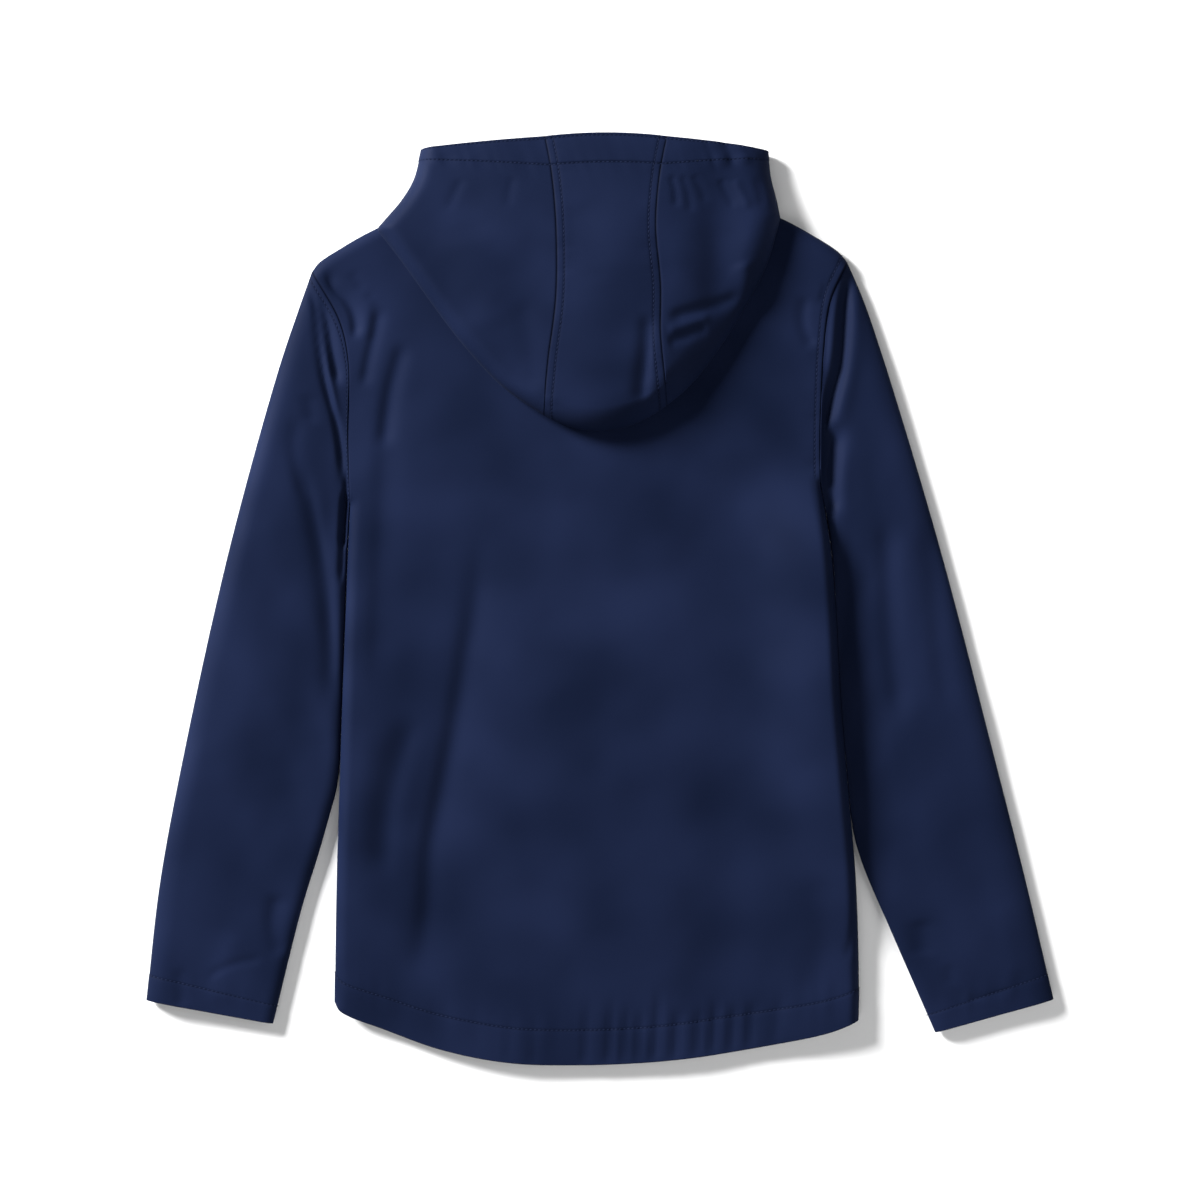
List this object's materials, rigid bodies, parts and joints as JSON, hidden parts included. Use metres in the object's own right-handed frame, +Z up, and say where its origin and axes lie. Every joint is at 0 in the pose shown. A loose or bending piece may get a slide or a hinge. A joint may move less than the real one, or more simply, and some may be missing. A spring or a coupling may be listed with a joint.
{
  "type": "kids raincoat",
  "caption": "Child's hooded raincoat in plain navy coated cloth, laid flat with its back up and the hood folded down over the back, long sleeves and a curved tail hem",
  "frame": {"origin": "centre of the bounding box in plan, on the surface that the coat lies on", "axes": "+X across the back toward the coat's right sleeve as pictured, +Y from the hem to the hood, +Z up from the surface, out of the back"},
  "size_m": [0.655, 0.6702, 0.032],
  "materials": {
    "coated_cloth": "satin coated",
    "stud": "satin"
  },
  "bodies": {
    "root": {"back_panel": "coated_cloth", "front_left": "coated_cloth", "front_right": "coated_cloth", "sleeve_left": "coated_cloth", "sleeve_right": "coated_cloth", "hood_side_left": "coated_cloth", "hood_side_right": "coated_cloth", "hood_centre": "coated_cloth", "press_stud_1": "stud", "press_stud_2": "stud", "press_stud_3": "stud", "press_stud_4": "stud", "press_stud_5": "stud"}
  },
  "joints": []
}
